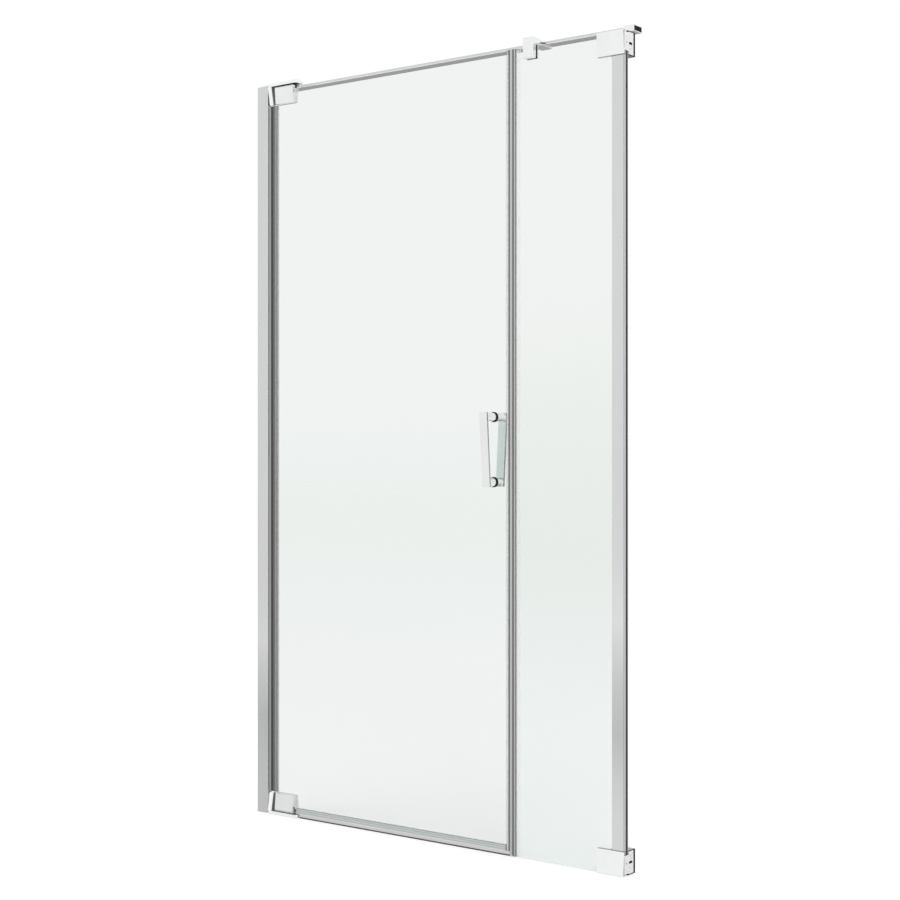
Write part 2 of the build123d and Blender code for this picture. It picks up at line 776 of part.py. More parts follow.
def bracket_pads():
    """Gaskets between the jaws of a wall bracket and the glass."""
    pads = []
    for side, edge in ((-1, bracket_left), (1, bracket_rear_left)):
        y0, y1 = sorted((side * half_glass, side * half_bracket_pad))
        pad = block(edge + bracket_shell + seat_gap, fixed_right, y0, y1,
                    bracket_bottom + bracket_shell + seat_gap, bracket_top - bracket_shell - seat_gap)
        for z in bracket_screw_heights():
            pad -= rod((bracket_screw_x, -20, z), (0, 1, 0), clamp_screw_radius + bracket_hole_margin, 40)
        pads.append(pad)
    return pads


def stabiliser_bar():
    """Flat bar above and behind the glass, from plug to plug."""
    bar = block(bar_left, opening_width - bar_left, bar_front, bar_rear, bar_bottom, bar_top)
    bar = fillet(bar.edges().filter_by(Axis.X), bar_edge_radius)
    return clear_of(bar, [socket_screw(False), socket_screw(True)])


def socket_outline(margin_y, margin_z):
    """Rectangle around the bar's section with the given margins, as (y, z) points."""
    y0, y1 = bar_front - margin_y, bar_rear + margin_y
    z0, z1 = bar_bottom - margin_z, bar_top + margin_z
    return [(y0, z0), (y1, z0), (y1, z1), (y0, z1)]


def bar_socket():
    """Sleeve over the bar's end at the far wall, with a wider pocket for the wall plug."""
    start = opening_width - socket_length
    sleeve = prism_x(socket_outline(socket_wall_y, socket_wall_z), start, opening_width)
    sleeve = fillet(sleeve.edges().filter_by(Axis.X), socket_edge_radius)
    sleeve -= prism_x(socket_outline(seat_gap, seat_gap), start - 1, opening_width + 1)
    pocket = opening_width - plug_length - seat_gap
    sleeve -= prism_x(socket_outline(plug_margin, plug_margin), pocket, opening_width + 1)
    return sleeve - socket_screw(True)


def socket_screw(right):
    """Grub screw that holds a socket on the bar from below."""
    low = bar_bottom - socket_wall_z
    screw = rod((socket_screw_x, bar_mid_y, low), (0, 0, 1), socket_screw_radius,
                socket_wall_z + socket_screw_bite)
    return screw if right else mirrored_x(screw)


def wall_plug():
    """Black plug screwed to the far wall, which carries the socket."""
    start = opening_width - plug_length
    margin = plug_margin - seat_gap
    plug = prism_x(socket_outline(margin, margin), start, opening_width)
    centre = (start, bar_mid_y, bar_mid_z)
    plug -= stepped_rod(centre, (1, 0, 0), [(plug_sink_radius, plug_sink_depth)])
    return plug - rod((start - 1, bar_mid_y, bar_mid_z), (1, 0, 0), plug_hole_radius, plug_length + 2)


def tie_clamp():
    """Clamp on the top edge of the fixed pane with a fork that grips the bar."""
    pad = half_glass + tie_clamp_pad
    rear = pad + tie_clamp_rear_jaw
    floor = bar_bottom - tie_clamp_rest_gap
    under = floor - tie_clamp_plate
    ceiling = glass_top + tie_clamp_pad + seat_gap
    front_of_bar = bar_front - tie_clamp_bar_gap
    behind_bar = bar_rear + tie_clamp_bar_gap
    end = behind_bar + tie_clamp_lip
    outline = [
        (-tie_clamp_front, tie_clamp_bottom), (-tie_clamp_front, tie_clamp_top),
        (front_of_bar, bar_top), (front_of_bar, bar_top - tie_clamp_plate),
        (rear + tie_clamp_web, floor + tie_clamp_plate), (rear + tie_clamp_web, floor),
        (behind_bar, floor), (behind_bar, floor + tie_clamp_lip_height),
        (end, floor + tie_clamp_lip_height), (end, under), (rear, under), (rear, tie_clamp_bottom),
        (pad, tie_clamp_bottom), (pad, ceiling), (-pad, ceiling), (-pad, tie_clamp_bottom),
    ]
    clamp = prism_x(outline, tie_clamp_left, tie_clamp_left + tie_clamp_width)
    front_edges = clamp.edges().filter_by(lambda edge: abs(edge.center().Y + tie_clamp_front) < 0.01)
    clamp = fillet(front_edges, tie_clamp_edge_radius)
    return clear_of(clamp, tie_clamp_screws())


def tie_clamp_gasket():
    """U-shaped gasket between the clamp and the glass edge."""
    pad = half_glass + tie_clamp_pad
    low = tie_clamp_bottom + tie_gasket_inset
    outline = [
        (-pad, low), (-pad, glass_top + tie_clamp_pad), (pad, glass_top + tie_clamp_pad), (pad, low),
        (half_glass, low), (half_glass, glass_top), (-half_glass, glass_top), (-half_glass, low),
    ]
    return prism_x(outline, tie_clamp_left + tie_clamp_rest_gap,
                   tie_clamp_left + tie_clamp_width - tie_clamp_rest_gap)


def tie_clamp_screw_places():
    """(x, z) of the two grub screws in the rear jaw and of the one in the lip behind the bar."""
    middle = tie_clamp_left + tie_clamp_width / 2
    height = (tie_clamp_bottom + glass_top) / 2
    half_pitch = tie_screw_pitch / 2
    return [(middle - half_pitch, height), (middle + half_pitch, height),
            (middle, bar_bottom + tie_clamp_lip_height / 2)]


def tie_clamp_screws():
    """Two grub screws in the rear jaw and one in the lip behind the bar."""
    left, right, lip = tie_clamp_screw_places()
    pad = half_glass + tie_clamp_pad
    screws = [rod((x, pad, z), (0, 1, 0), tie_grub_radius, tie_clamp_rear_jaw) for x, z in (left, right)]
    screws.append(rod((lip[0], bar_rear, lip[1]), (0, 1, 0), tie_lip_grub_radius,
                      tie_clamp_lip + tie_clamp_bar_gap))
    return screws


def tie_clamp_sockets():
    """Hexagon sockets of the clamp's grub screws, on the shower side."""
    faces = [half_glass + tie_clamp_pad + tie_clamp_rear_jaw] * 2
    faces.append(bar_rear + tie_clamp_bar_gap + tie_clamp_lip)
    return [hex_socket((x, face, z), (0, -1, 0), small_hex)
            for (x, z), face in zip(tie_clamp_screw_places(), faces)]


def handle_line(z):
    """Distance from the glass centre plane to a handle bar's outer face at a height."""
    share = (z - handle_bottom) / handle_length
    return handle_lean_bottom + share * (handle_lean_top - handle_lean_bottom)


def handle_bar_solid(side):
    """Leaning flat bar of the handle, -1 for the room side and 1 for the shower side."""
    top = handle_bottom + handle_length
    outline = [
        (side * handle_lean_bottom, handle_bottom), (side * handle_lean_top, top),
        (side * (handle_lean_top - handle_bar), top),
        (side * (handle_lean_bottom - handle_bar), handle_bottom),
    ]
    bar = prism_x(outline, handle_x - handle_width / 2, handle_x + handle_width / 2)
    return fillet(bar.edges(), handle_edge_radius)


def standoff(side, z):
    """Round post between the glass and a handle bar, cut to the lean of the bar."""
    start = half_glass + washer_thickness
    post = rod((handle_x, side * start, z), (0, side, 0), standoff_radius, handle_lean_top)
    low, high = z - 2 * standoff_radius, z + 2 * standoff_radius
    keep = prism_x([
        (0, low), (side * (handle_line(low) - handle_bar), low),
        (side * (handle_line(high) - handle_bar), high), (0, high),
    ], handle_x - 2 * standoff_radius, handle_x + 2 * standoff_radius)
    post = post & keep
    post -= rod((handle_x, side * start, z), (0, side, 0), handle_bolt_radius, handle_bolt_bite)
    if side > 0:
        post -= handle_grub(z)
    return post


def handle_grub(z):
    """Grub screw under a shower-side post that locks it on the through bolt."""
    y = half_glass + washer_thickness + handle_grub_offset
    low = z - standoff_radius
    return rod((handle_x, y, low), (0, 0, 1), handle_grub_radius, standoff_radius - handle_bolt_radius)


def handle_washer(side, z):
    """Soft washer between a post and the glass."""
    y = side * half_glass
    washer = rod((handle_x, y, z), (0, side, 0), washer_radius, washer_thickness)
    return washer - rod((handle_x, y, z), (0, side, 0), handle_bolt_radius, washer_thickness)


def handle_bolt(z):
    """Through bolt of the handle."""
    reach = half_glass + washer_thickness + handle_bolt_bite
    return rod((handle_x, -reach, z), (0, 1, 0), handle_bolt_radius, 2 * reach)


def handle_sleeve(z):
    """Plastic sleeve that keeps the through bolt off the glass."""
    sleeve = rod((handle_x, -half_glass, z), (0, 1, 0), handle_hole_radius, glass_thickness)
    return sleeve - rod((handle_x, -half_glass, z), (0, 1, 0), handle_bolt_radius, glass_thickness)


def save(name, *solids):
    """Write one node; several solids make a group."""
    shape = solids[0] if len(solids) == 1 else Compound(children=list(solids))
    export_step(shape, f"parts/{name}.step")


def save_profiles():
    """Wall channels, adjusting profiles and their screws and gaskets."""
    hinge_tie_x = tie_screw_inset
    glass_tie_x = opening_width - tie_screw_inset
    save("hinge_wall_channel", clear_of(wall_channel(0, hinge_profile_top), tie_holes(hinge_tie_x)))
    strike_channel = mirrored_x(wall_channel(profile_bottom_right, profile_top_right))
    save("strike_wall_channel", clear_of(strike_channel, tie_holes(glass_tie_x)))
    save("wall_tapes", wall_tape(0, hinge_profile_top),
         mirrored_x(wall_tape(profile_bottom_right, profile_top_right)))
    save("hinge_profile", clear_of(hinge_profile(), tie_holes(hinge_tie_x) + leg_screw_tips()))
    save("glass_profile", clear_of(glass_profile(), tie_holes(glass_tie_x)))
    save("hinge_profile_screws", *[tie_screw(hinge_tie_x, z) for z in tie_screw_heights])
    save("glass_profile_screws", *[tie_screw(glass_tie_x, z) for z in tie_screw_heights])
    save("hinge_side_lip", hinge_side_lip())
    save("glazing_gaskets", *glazing_gaskets())


def leg_screw_tips():
    """Clearance for the tips of the hinge screws in the profile's inner wall."""
    length = profile_lip_groove + leg_screw_tip
    return both_hinges([rod((hinge_profile_end, 0, z), (-1, 0, 0), leg_screw_radius, length)
                        for z in leg_screw_heights()])


def both_hinges(shapes):
    """Shapes of the upper hinge together with their mirror images for the lower one."""
    return list(shapes) + [mirrored_z(shape, hinge_mirror) for shape in shapes]


def both_brackets(shapes):
    """Shapes of the upper wall bracket together with their mirror images for the lower one."""
    return list(shapes) + [mirrored_z(shape, bracket_mirror) for shape in shapes]


def save_hinges():
    """Both pivot hinges: fixed castings, pins, and the pieces clamped on the door pane."""
    castings = (hinge_bracket(True), mirrored_z(hinge_bracket(False), hinge_mirror))
    fronts = both_hinges([hinge_plate(-1)])
    rears = both_hinges([hinge_plate(1)])
    blocks = both_hinges([pivot_block()])
    for index, place in enumerate(("top", "bottom")):
        save(f"{place}_hinge_casting", castings[index])
        save(f"{place}_hinge_front_plate", fronts[index])
        save(f"{place}_hinge_rear_plate", rears[index])
        save(f"{place}_pivot_block", blocks[index])
    leg_face = hinge_leg_start + hinge_leg_width
    leg_screws = [leg_screw(z) - hex_socket((leg_face, 0, z), (-1, 0, 0), large_hex)
                  for z in leg_screw_heights()]
    save("hinge_casting_screws", *both_hinges(leg_screws))
    clamp_screws = []
    for x, z in hinge_screw_places():
        head = hinge_screw_head_y(z)
        face = (x, head + clamp_screw_head_height, z)
        clamp_screws.append(clamp_screw(x, z, half_pad, head) - hex_socket(face, (0, -1, 0), large_hex))
    save("hinge_clamp_screws", *both_hinges(clamp_screws))
    save("hinge_pads", *both_hinges(hinge_pads()))
    save("hinge_leg_liners", *both_hinges([hinge_leg_liner()]))
    save("hinge_caps", *both_hinges([hinge_cap()]))
    save("pivot_pins", *both_hinges([pivot_pin()]))
    save("pivot_bushes", *both_hinges([pivot_bush()]))
    save("thrust_washer", thrust_washer())


def save_brackets():
    """Both wall brackets of the fixed pane."""
    bodies = both_brackets([bracket_body()])
    fronts = both_brackets([bracket_cover(True)])
    rears = both_brackets([bracket_cover(False)])
    for index, place in enumerate(("top", "bottom")):
        save(f"{place}_bracket_body", bodies[index])
        save(f"{place}_bracket_front_cover", fronts[index])
        save(f"{place}_bracket_rear_cover", rears[index])
    save("bracket_pads", *both_brackets(bracket_pads()))
    face = half_bracket_pad + bracket_jaw + clamp_screw_head_height
    screws = [bracket_screw(z) - hex_socket((bracket_screw_x, face, z), (0, -1, 0), large_hex)
              for z in bracket_screw_heights()]
    save("bracket_clamp_screws", *both_brackets(screws))


def save_bar():
    """Bar above the glass with its sockets, plugs and the clamp on the fixed pane."""
    save("stabiliser_bar", stabiliser_bar())
    save("strike_bar_socket", bar_socket())
    save("hinge_bar_socket", mirrored_x(bar_socket()))
    save("strike_wall_plug", wall_plug())
    save("hinge_wall_plug", mirrored_x(wall_plug()))
    right_screw = socket_screw(True) - hex_socket(
        (socket_screw_x, bar_mid_y, bar_bottom - socket_wall_z), (0, 0, 1), small_hex)
    save("bar_socket_screws", right_screw, mirrored_x(right_screw))
    save("bar_clamp", tie_clamp())
    save("bar_clamp_gasket", tie_clamp_gasket())
    tie_sockets = tie_clamp_sockets()
    save("bar_clamp_screws", *[screw - tool for screw, tool in zip(tie_clamp_screws(), tie_sockets)])


def save_panes():
    """Both glass panes with their upright and drip seals."""
    save("door_glass", door_glass())
    save("fixed_glass", fixed_glass())
    save("hinge_side_seal", hinge_side_seal())
    save("door_magnetic_seal", door_magnetic_seal())
    save("fixed_magnetic_seal", fixed_magnetic_seal())
    save("magnet_strip_door", magnet_strip(door_right + seal_web, mate_x, closing_seal_foot, glass_top))
    save("magnet_strip_fixed",
         magnet_strip(mate_x + magnet_gap, fixed_left - seal_web, fixed_glass_bottom, glass_top))
    save("drip_seal", drip_seal())
    save("drip_lip", drip_lip())


def save_handle():
    """The pair of handle bars with posts, washers, sleeves and bolts."""
    save("handle_front_bar", handle_bar_solid(-1))
    save("handle_rear_bar", handle_bar_solid(1))
    save("handle_front_posts", *[standoff(-1, z) for z in standoff_heights])
    save("handle_rear_posts", *[standoff(1, z) for z in standoff_heights])
    save("handle_washers", *[handle_washer(side, z) for side in (-1, 1) for z in standoff_heights])
    save("handle_bolts", *[handle_bolt(z) for z in standoff_heights])
    save("handle_sleeves", *[handle_sleeve(z) for z in standoff_heights])
    grub_y = half_glass + washer_thickness + handle_grub_offset
    save("handle_grub_screws", *[
        handle_grub(z) - hex_socket((handle_x, grub_y, z - standoff_radius), (0, 0, 1), small_hex)
        for z in standoff_heights])


os.makedirs("parts", exist_ok=True)
save_profiles()
save_panes()
save_hinges()
save_brackets()
save_bar()
save_handle()
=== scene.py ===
import json
import math

import bpy
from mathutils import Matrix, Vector

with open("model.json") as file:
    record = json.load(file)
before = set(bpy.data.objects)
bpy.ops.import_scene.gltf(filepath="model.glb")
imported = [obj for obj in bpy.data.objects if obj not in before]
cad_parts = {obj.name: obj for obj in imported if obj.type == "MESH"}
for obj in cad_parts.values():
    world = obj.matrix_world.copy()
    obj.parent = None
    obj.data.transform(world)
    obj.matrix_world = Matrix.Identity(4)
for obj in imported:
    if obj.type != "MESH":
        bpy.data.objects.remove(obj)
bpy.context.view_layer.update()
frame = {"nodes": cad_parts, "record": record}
nodes = frame["nodes"]


def span(name, axis):
    """Lowest and highest place of a CAD node along an axis, in metres, with the door closed."""
    values = [vertex.co["XYZ".index(axis)] for vertex in nodes[name].data.vertices]
    return min(values), max(values)


# Camera, in metres, degrees and millimetres
CAMERA_PLACE = (3.128, -3.272, 0.972)
CAMERA_TURN = 37.2
CAMERA_LENS = 66.72
CAMERA_SENSOR = 36.0
CAMERA_REACH = 100.0

# Light
WORLD_LEVEL = 0.82
FLOOR_COLOUR = (0.80, 0.80, 0.80)
FLOOR_GLOW = 0.345
FLOOR_HALF_WIDTH = 30.0
FLOOR_PLACE = (0.6, 0.0, -0.0005)
LAMP_AIM = (0.6, 0.0, 1.0)
LAMP_SIZE = 2.0
KEY_PLACE = (3.5, -3.0, 3.5)
KEY_POWER = 60
FILL_PLACE = (-2.5, -3.0, 2.5)
FILL_POWER = 25
# Level of the surroundings that metal reflects, by the sine of the direction's elevation
STUDIO_FRONT = [(-1.0, 0.80), (-0.30, 0.90), (-0.1, 0.95), (0.0, 1.0), (0.3, 1.0), (1.0, 0.92)]
STUDIO_REAR = [(-1.0, 0.55), (-0.35, 0.38), (-0.12, 0.42), (0.0, 0.9), (0.2, 1.0), (1.0, 0.92)]
# Share of a direction that points to the shower side, where the rear level starts and is full
REAR_START = 0.35
REAR_FULL = 0.6

FRAME_HEIGHT = span("top_hinge_casting", "Z")[1]
# Level planes about which the lower hinge and the lower wall bracket mirror the upper ones
HINGE_MIDDLE = (span("bottom_hinge_casting", "Z")[0] + FRAME_HEIGHT) / 2
BRACKET_MIDDLE = (span("bottom_bracket_body", "Z")[0] + span("top_bracket_body", "Z")[1]) / 2

# Places of the faces with painted shade and painted light, a little off the faces themselves
LEG_RECESS_END = span("hinge_profile", "X")[1] + 0.0033
ARM_UNDERSIDE = span("hinge_leg_liners", "Z")[1] - HINGE_MIDDLE - 0.00025
CAP_OUTSIDE = span("hinge_caps", "Z")[1] - HINGE_MIDDLE
LOWER_CAP_BRIGHT = CAP_OUTSIDE - 0.00075
UPPER_CAP_BRIGHT = CAP_OUTSIDE - 0.00205
HANDLE_SIDE = span("handle_front_bar", "X")[1] - 0.0004
COVER_SKIN = 0.0014
COVER_RIM = 0.0003
COVER_INSIDE = span("top_bracket_rear_cover", "Z")[0] - BRACKET_MIDDLE
COVER_OUTSIDE = span("top_bracket_rear_cover", "Z")[1] - BRACKET_MIDDLE
COVER_LEFT, COVER_WALL = span("top_bracket_rear_cover", "X")
COVER_REAR = span("top_bracket_rear_cover", "Y")[1]

# Painted reflection on the two wall profiles: lighter and darker bands of the surroundings by height above
# the tray
HINGE_SIDE_PAINTED_REFLECTION = [(0.0, 0.855), (0.071, 0.855), (0.152, 0.83), (0.259, 0.77), (0.394, 0.95),
                    (0.461, 1.066), (0.569, 1.02), (0.65, 1.0)]
STRIKE_SIDE_PAINTED_REFLECTION = [(0.0, 1.10), (0.127, 1.10), (0.196, 1.03), (0.321, 0.844), (0.424, 0.922),
                     (0.584, 1.178), (0.721, 1.082), (0.85, 1.045), (1.8, 1.033)]
# Green tint of the panes, made lighter and darker by height above the tray as painted light and shade
DOOR_TINT_AND_SHADE = [(0.0, (0.835, 0.853, 0.845)), (0.12, (0.823, 0.841, 0.833)), (0.35, (0.823, 0.841, 0.833)),
             (0.60, (0.833, 0.868, 0.857)), (0.82, (0.829, 0.872, 0.838)), (0.945, (0.844, 0.881, 0.866)),
             (1.09, (0.869, 0.889, 0.875)), (FRAME_HEIGHT, (0.869, 0.889, 0.875))]
FIXED_TINT_AND_SHADE = [(0.0, (0.850, 0.886, 0.876)), (0.08, (0.840, 0.876, 0.866)), (0.20, (0.808, 0.842, 0.833)),
              (0.504, (0.800, 0.833, 0.825)), (0.738, (0.791, 0.833, 0.799)), (0.949, (0.801, 0.845, 0.806)),
              (1.2, (0.852, 0.881, 0.857)), (1.4, (0.869, 0.889, 0.875)),
              (FRAME_HEIGHT, (0.869, 0.889, 0.875))]
GLASS_EDGE = (0.45, 0.62, 0.55)
GLASS_INDEX = 1.5

# Bands across the seals: place along X or Z in metres, grey level or colour, opacity. The near-black bands
# are painted shade in gaps
# the darkest hinge lip and hinge seal bands are painted shadow in the gap between the lip, the seal and the
# hinge
HINGE_LIP_BANDS = [(0.0386, 0.52, 1.0), (0.042, 0.42, 1.0), (0.0447, 0.04, 1.0), (0.0506, 0.03, 1.0)]
HINGE_SEAL_BANDS = [(0.051, 0.24, 1.0), (0.0525, 0.26, 1.0), (0.0545, 0.11, 1.0), (0.0582, 0.10, 1.0),
                    (0.0600, 0.24, 0.95), (0.0625, 0.36, 0.75), (0.066, 0.45, 0.45), (0.072, 0.50, 0.12)]
# the darkest door and fixed seal bands are painted shade at the glass edge and in the gap between the two
# seals
DOOR_SEAL_BANDS = [(0.815, 0.40, 0.10), (0.8228, 0.40, 0.14), (0.8238, 0.06, 0.95), (0.8272, 0.06, 1.0),
                   (0.8282, 0.46, 1.0), (0.8350, 0.48, 1.0), (0.8357, 0.05, 1.0), (0.837, 0.03, 1.0)]
FIXED_SEAL_BANDS = [(0.8375, 0.03, 1.0), (0.8388, 0.05, 1.0), (0.8395, 0.42, 1.0), (0.8425, 0.46, 1.0),
                    (0.8440, 0.44, 0.3), (0.8455, 0.44, 0.04), (0.857, 0.44, 0.03)]
DRIP_BODY = (0.65, 0.64, 0.625)
DRIP_GROOVE_SHADE = (0.46, 0.50, 0.49)
DRIP_RIDGE = (0.60, 0.64, 0.63)
DRIP_UPPER_RIDGE = (0.57, 0.61, 0.60)
DRIP_CLEAR = (0.80, 0.83, 0.82)
# painted shade: the dark bottom band under the lip and the darker groove bands between the ridges
DRIP_SEAL_BANDS = [(0.0031, (0.52, 0.51, 0.49), 1.0), (0.0045, DRIP_BODY, 1.0), (0.0080, DRIP_BODY, 1.0),
                   (0.0095, (0.72, 0.715, 0.70), 1.0), (0.0125, (0.67, 0.69, 0.67), 1.0),
                   (0.0131, DRIP_GROOVE_SHADE, 1.0), (0.0154, DRIP_GROOVE_SHADE, 1.0),
                   (0.0161, DRIP_RIDGE, 1.0), (0.0177, DRIP_RIDGE, 1.0),
                   (0.0184, DRIP_GROOVE_SHADE, 1.0), (0.0204, DRIP_GROOVE_SHADE, 1.0),
                   (0.0211, DRIP_UPPER_RIDGE, 1.0), (0.0226, DRIP_UPPER_RIDGE, 1.0),
                   (0.0233, (0.54, 0.58, 0.57), 1.0), (0.0241, (0.62, 0.66, 0.65), 0.8),
                   (0.0249, DRIP_CLEAR, 0.1), (0.026, DRIP_CLEAR, 0.05)]

# Noise textures: roughness, and the range that nearly all of their values lie in
NOISE_ROUGHNESS = 0.55
NOISE_LOW = 0.3
NOISE_HIGH = 0.7
BEVEL_SAMPLES = 6

# Socket numbers of a Mix node that mixes colours
MIX_FACTOR = 0
MIX_FIRST = 6
MIX_SECOND = 7
MIX_RESULT = 2

# Numbers of the axes that profiles, bars and seals are drawn out along
ALONG_X = 0
ALONG_Z = 2


def grey(level):
    """Colour with the same level in all channels."""
    return (level, level, level)


class Tree:
    """Small helper around a node tree."""

    def __init__(self, node_tree):
        self.nodes = node_tree.nodes
        self.links = node_tree.links

    def add(self, kind, **settings):
        node = self.nodes.new(kind)
        for key, value in settings.items():
            setattr(node, key, value)
        return node

    def link(self, source, target):
        self.links.new(source, target)

    def components(self, kind):
        """The X, Y and Z sockets of a texture coordinate."""
        coords = self.add("ShaderNodeTexCoord")
        split = self.add("ShaderNodeSeparateXYZ")
        self.link(coords.outputs[kind], split.inputs["Vector"])
        return split.outputs

    def place(self, axis):
        """One object coordinate, in metres."""
        return self.components("Object")[axis]

    def noise(self, size, detail, stretch=(1.0, 1.0, 1.0)):
        """Noise with waves of 1 / size metres, before a stretch of the object coordinates."""
        coords = self.add("ShaderNodeTexCoord")
        mapping = self.add("ShaderNodeMapping")
        mapping.inputs["Scale"].default_value = stretch
        self.link(coords.outputs["Object"], mapping.inputs["Vector"])
        node = self.add("ShaderNodeTexNoise")
        node.inputs["Scale"].default_value = size
        node.inputs["Detail"].default_value = detail
        node.inputs["Roughness"].default_value = NOISE_ROUGHNESS
        self.link(mapping.outputs["Vector"], node.inputs["Vector"])
        return node.outputs["Fac"]

    def drawn_lines(self, axis, across, along):
        """Noise drawn out along an axis, by the waves per metre across and along it."""
        stretch = [across, across, across]
        stretch[axis] = along
        return self.noise(1.0, 3, tuple(stretch))

    def ramp(self, source, stops):
        """Colour ramp with (place, colour) stops."""
        node = self.add("ShaderNodeValToRGB")
        elements = node.color_ramp.elements
        while len(elements) < len(stops):
            elements.new(0.5)
        for element, (place, colour) in zip(elements, stops):
            element.position = place
            element.color = (*colour, 1.0)
        self.link(source, node.inputs["Fac"])
        return node.outputs["Color"]

    def blend(self, noise, dark, light):
        """Colours that follow a noise texture."""
        return self.ramp(noise, [(NOISE_LOW, dark), (NOISE_HIGH, light)])

    def remap(self, source, low, high, from_low=NOISE_LOW, from_high=NOISE_HIGH):
        """Number mapped from one range, by default that of a noise texture, to a new one."""
        node = self.add("ShaderNodeMapRange")
        node.inputs["From Min"].default_value = from_low
        node.inputs["From Max"].default_value = from_high
        node.inputs["To Min"].default_value = low
        node.inputs["To Max"].default_value = high
        self.link(source, node.inputs["Value"])
        return node.outputs["Result"]

    def bands(self, source, stops):
        """Colours along a coordinate, from (metres, colour) stops."""
        low, high = stops[0][0], stops[-1][0]
        share = self.remap(source, 0.0, 1.0, low, high)
        return self.ramp(share, [((at - low) / (high - low), colour) for at, colour in stops])

    def math(self, operation, *values):
        """Arithmetic between sockets and numbers."""
        node = self.add("ShaderNodeMath", operation=operation)
        for socket, value in zip(node.inputs, values):
            if isinstance(value, (int, float)):
                socket.default_value = value
            else:
                self.link(value, socket)
        return node.outputs[0]

    def from_middle(self, height):
        """Distance above or below a level plane."""
        return self.math("ABSOLUTE", self.math("SUBTRACT", self.place("Z"), height))

    def multiply(self, first, second):
        """Product of two colours."""
        node = self.add("ShaderNodeMix", data_type="RGBA", blend_type="MULTIPLY")
        node.inputs[MIX_FACTOR].default_value = 1.0
        self.link(first, node.inputs[MIX_FIRST])
        self.link(second, node.inputs[MIX_SECOND])
        return node.outputs[MIX_RESULT]

    def mix(self, factor, first, second):
        """First colour where the factor is 0, second where it is 1, each a socket or a plain colour."""
        node = self.add("ShaderNodeMix", data_type="RGBA")
        self.link(factor, node.inputs[MIX_FACTOR])
        for number, colour in ((MIX_FIRST, first), (MIX_SECOND, second)):
            if isinstance(colour, tuple):
                node.inputs[number].default_value = (*colour, 1.0)
            else:
                self.link(colour, node.inputs[number])
        return node.outputs[MIX_RESULT]


class Surface(Tree):
    """Node tree of a new material with a Principled shader."""

    def __init__(self, name):
        self.material = bpy.data.materials.new(name)
        self.material.use_nodes = True
        super().__init__(self.material.node_tree)
        self.shader = self.nodes["Principled BSDF"]
        self.output = self.nodes["Material Output"]

    def set(self, name, value):
        """One value on an input of the shader: a socket, or a plain number."""
        if isinstance(value, (int, float)):
            self.shader.inputs[name].default_value = value
        else:
            self.link(value, self.shader.inputs[name])

    def relief(self, height, strength, depth, edge):
        """Bump from a texture, over edges rounded by a bevel in the shading."""
        bevel = self.add("ShaderNodeBevel", samples=BEVEL_SAMPLES)
        bevel.inputs["Radius"].default_value = edge
        bump = self.add("ShaderNodeBump")
        bump.inputs["Strength"].default_value = strength
        bump.inputs["Distance"].default_value = depth
        self.link(height, bump.inputs["Height"])
        self.link(bevel.outputs["Normal"], bump.inputs["Normal"])
        self.set("Normal", bump.outputs["Normal"])


def chrome(name, level=1.0, painted_shade_mask=None, speckled=False, green=1.0):
    """Polished chrome with faint polishing marks; level makes lighter or darker copies as painted light and
    shade, green paints the tint of light that passes the pane, and the mask gives the places of painted
    shade.
    """
    tree = Surface(name)
    marks = tree.noise(900, 6)
    haze = tree.noise(28, 3)
    dark, light = ((tone, tone * 1.005 * green, tone * 1.01 * green)
                   for tone in (0.84 * level, 0.88 * level))
    colour = tree.blend(haze, dark, light)
    if speckled:
        spots = tree.noise(650, 1)
        colour = tree.multiply(colour, tree.ramp(spots, [(0.58, grey(1.0)), (0.68, grey(0.45))]))
    # painted shade: near black where the mask is set
    if painted_shade_mask:
        colour = tree.mix(painted_shade_mask(tree), colour, grey(0.02))
    tree.set("Metallic", 1.0)
    tree.set("Base Color", colour)
    tree.set("Roughness", tree.remap(haze, 0.04, 0.09))
    tree.relief(marks, strength=0.05, depth=0.00005, edge=0.0004)
    return tree.material


def foot_shade(tree):
    """Painted shade in the recess between the wall profile and the leg of a hinge casting, darker on the
    upper one.
    """
    recess = tree.math("MULTIPLY", tree.math("LESS_THAN", tree.place("X"), LEG_RECESS_END),
                       tree.math("LESS_THAN", tree.from_middle(HINGE_MIDDLE), ARM_UNDERSIDE))
    upper = tree.math("GREATER_THAN", tree.place("Z"), HINGE_MIDDLE)
    return tree.math("MULTIPLY", recess, tree.math("MAXIMUM", upper, 0.35))


def rim_shade(tree):
    """Painted shade on the narrow faces of the bracket covers that look along the wall profile."""
    rim = tree.math("LESS_THAN", tree.from_middle(BRACKET_MIDDLE), COVER_INSIDE + COVER_RIM)
    return tree.math("MULTIPLY", rim, 0.75)


def hollow_shade(tree):
    """Painted shade inside a rear bracket cover, with its rims at the wall and towards the profile."""
    level = tree.from_middle(BRACKET_MIDDLE)
    inside = tree.math("MULTIPLY", tree.math("GREATER_THAN", level, COVER_INSIDE + COVER_SKIN),
                       tree.math("LESS_THAN", level, COVER_OUTSIDE - COVER_SKIN))
    for limit in (tree.math("GREATER_THAN", tree.place("X"), COVER_LEFT + COVER_SKIN),
                  tree.math("LESS_THAN", tree.place("Y"), COVER_REAR - COVER_SKIN)):
        inside = tree.math("MULTIPLY", inside, limit)
    wall_rim = tree.math("GREATER_THAN", tree.place("X"), COVER_WALL - COVER_RIM)
    return tree.math("MAXIMUM", tree.math("MAXIMUM", inside, wall_rim), rim_shade(tree))


def handle_shade(strength):
    """Painted dark reflection on the narrow side face of a handle bar that looks away from the hinge."""
    def mask(tree):
        return tree.math("MULTIPLY", tree.math("GREATER_THAN", tree.place("X"), HANDLE_SIDE), strength)
    return mask


